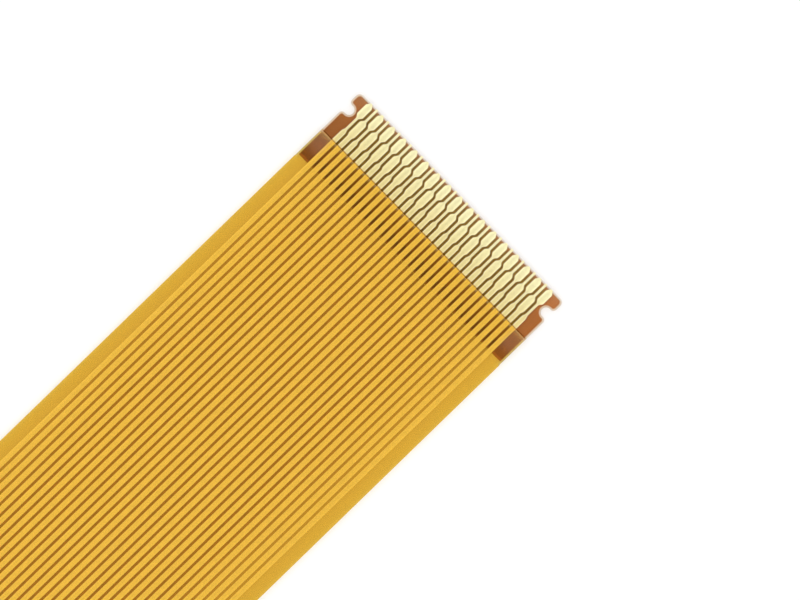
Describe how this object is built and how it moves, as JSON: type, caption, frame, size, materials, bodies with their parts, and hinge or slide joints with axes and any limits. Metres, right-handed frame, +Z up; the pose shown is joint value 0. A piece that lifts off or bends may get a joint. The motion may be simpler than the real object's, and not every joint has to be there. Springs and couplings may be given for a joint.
{
  "type": "flat flex cable",
  "caption": "Short flat flexible printed cable: amber film over a row of fine conductors, with bare staggered gold contacts, lock notches and brown stiffeners at both ends.",
  "frame": {"origin": "under the middle of the cable, on the plane of the stiffeners' undersides", "axes": "+X along the cable towards the near end, +Y across it, +Z up out of the contact side"},
  "size_m": [0.04, 0.0108, 0.0002],
  "materials": {
    "base_film": "amber polyimide film, glossy and see-through",
    "adhesive": "clear yellowish adhesive",
    "coverlay_film": "amber polyimide film, glossy and see-through",
    "stiffener": "dark amber-brown polyimide sheet, satin",
    "stiffener_adhesive": "clear yellowish adhesive",
    "conductor": "rolled copper, plated with bright gold where it is bare"
  },
  "bodies": {
    "root": {"base_film": "base_film", "coverlay_adhesive": "adhesive", "coverlay_film": "coverlay_film", "stiffener_near": "stiffener", "stiffener_far": "stiffener", "stiffener_adhesive_near": "stiffener_adhesive", "stiffener_adhesive_far": "stiffener_adhesive", "conductor_01": "conductor", "conductor_02": "conductor", "conductor_03": "conductor", "conductor_04": "conductor", "conductor_05": "conductor", "conductor_06": "conductor", "conductor_07": "conductor", "conductor_08": "conductor", "conductor_09": "conductor", "conductor_10": "conductor", "conductor_11": "conductor", "conductor_12": "conductor", "conductor_13": "conductor", "conductor_14": "conductor", "conductor_15": "conductor", "conductor_16": "conductor", "conductor_17": "conductor", "conductor_18": "conductor", "conductor_19": "conductor", "conductor_20": "conductor", "conductor_21": "conductor", "conductor_22": "conductor", "conductor_23": "conductor", "conductor_24": "conductor", "conductor_25": "conductor", "conductor_26": "conductor", "conductor_27": "conductor", "conductor_28": "conductor", "conductor_29": "conductor", "conductor_30": "conductor", "conductor_31": "conductor", "conductor_32": "conductor", "conductor_33": "conductor"}
  },
  "joints": []
}
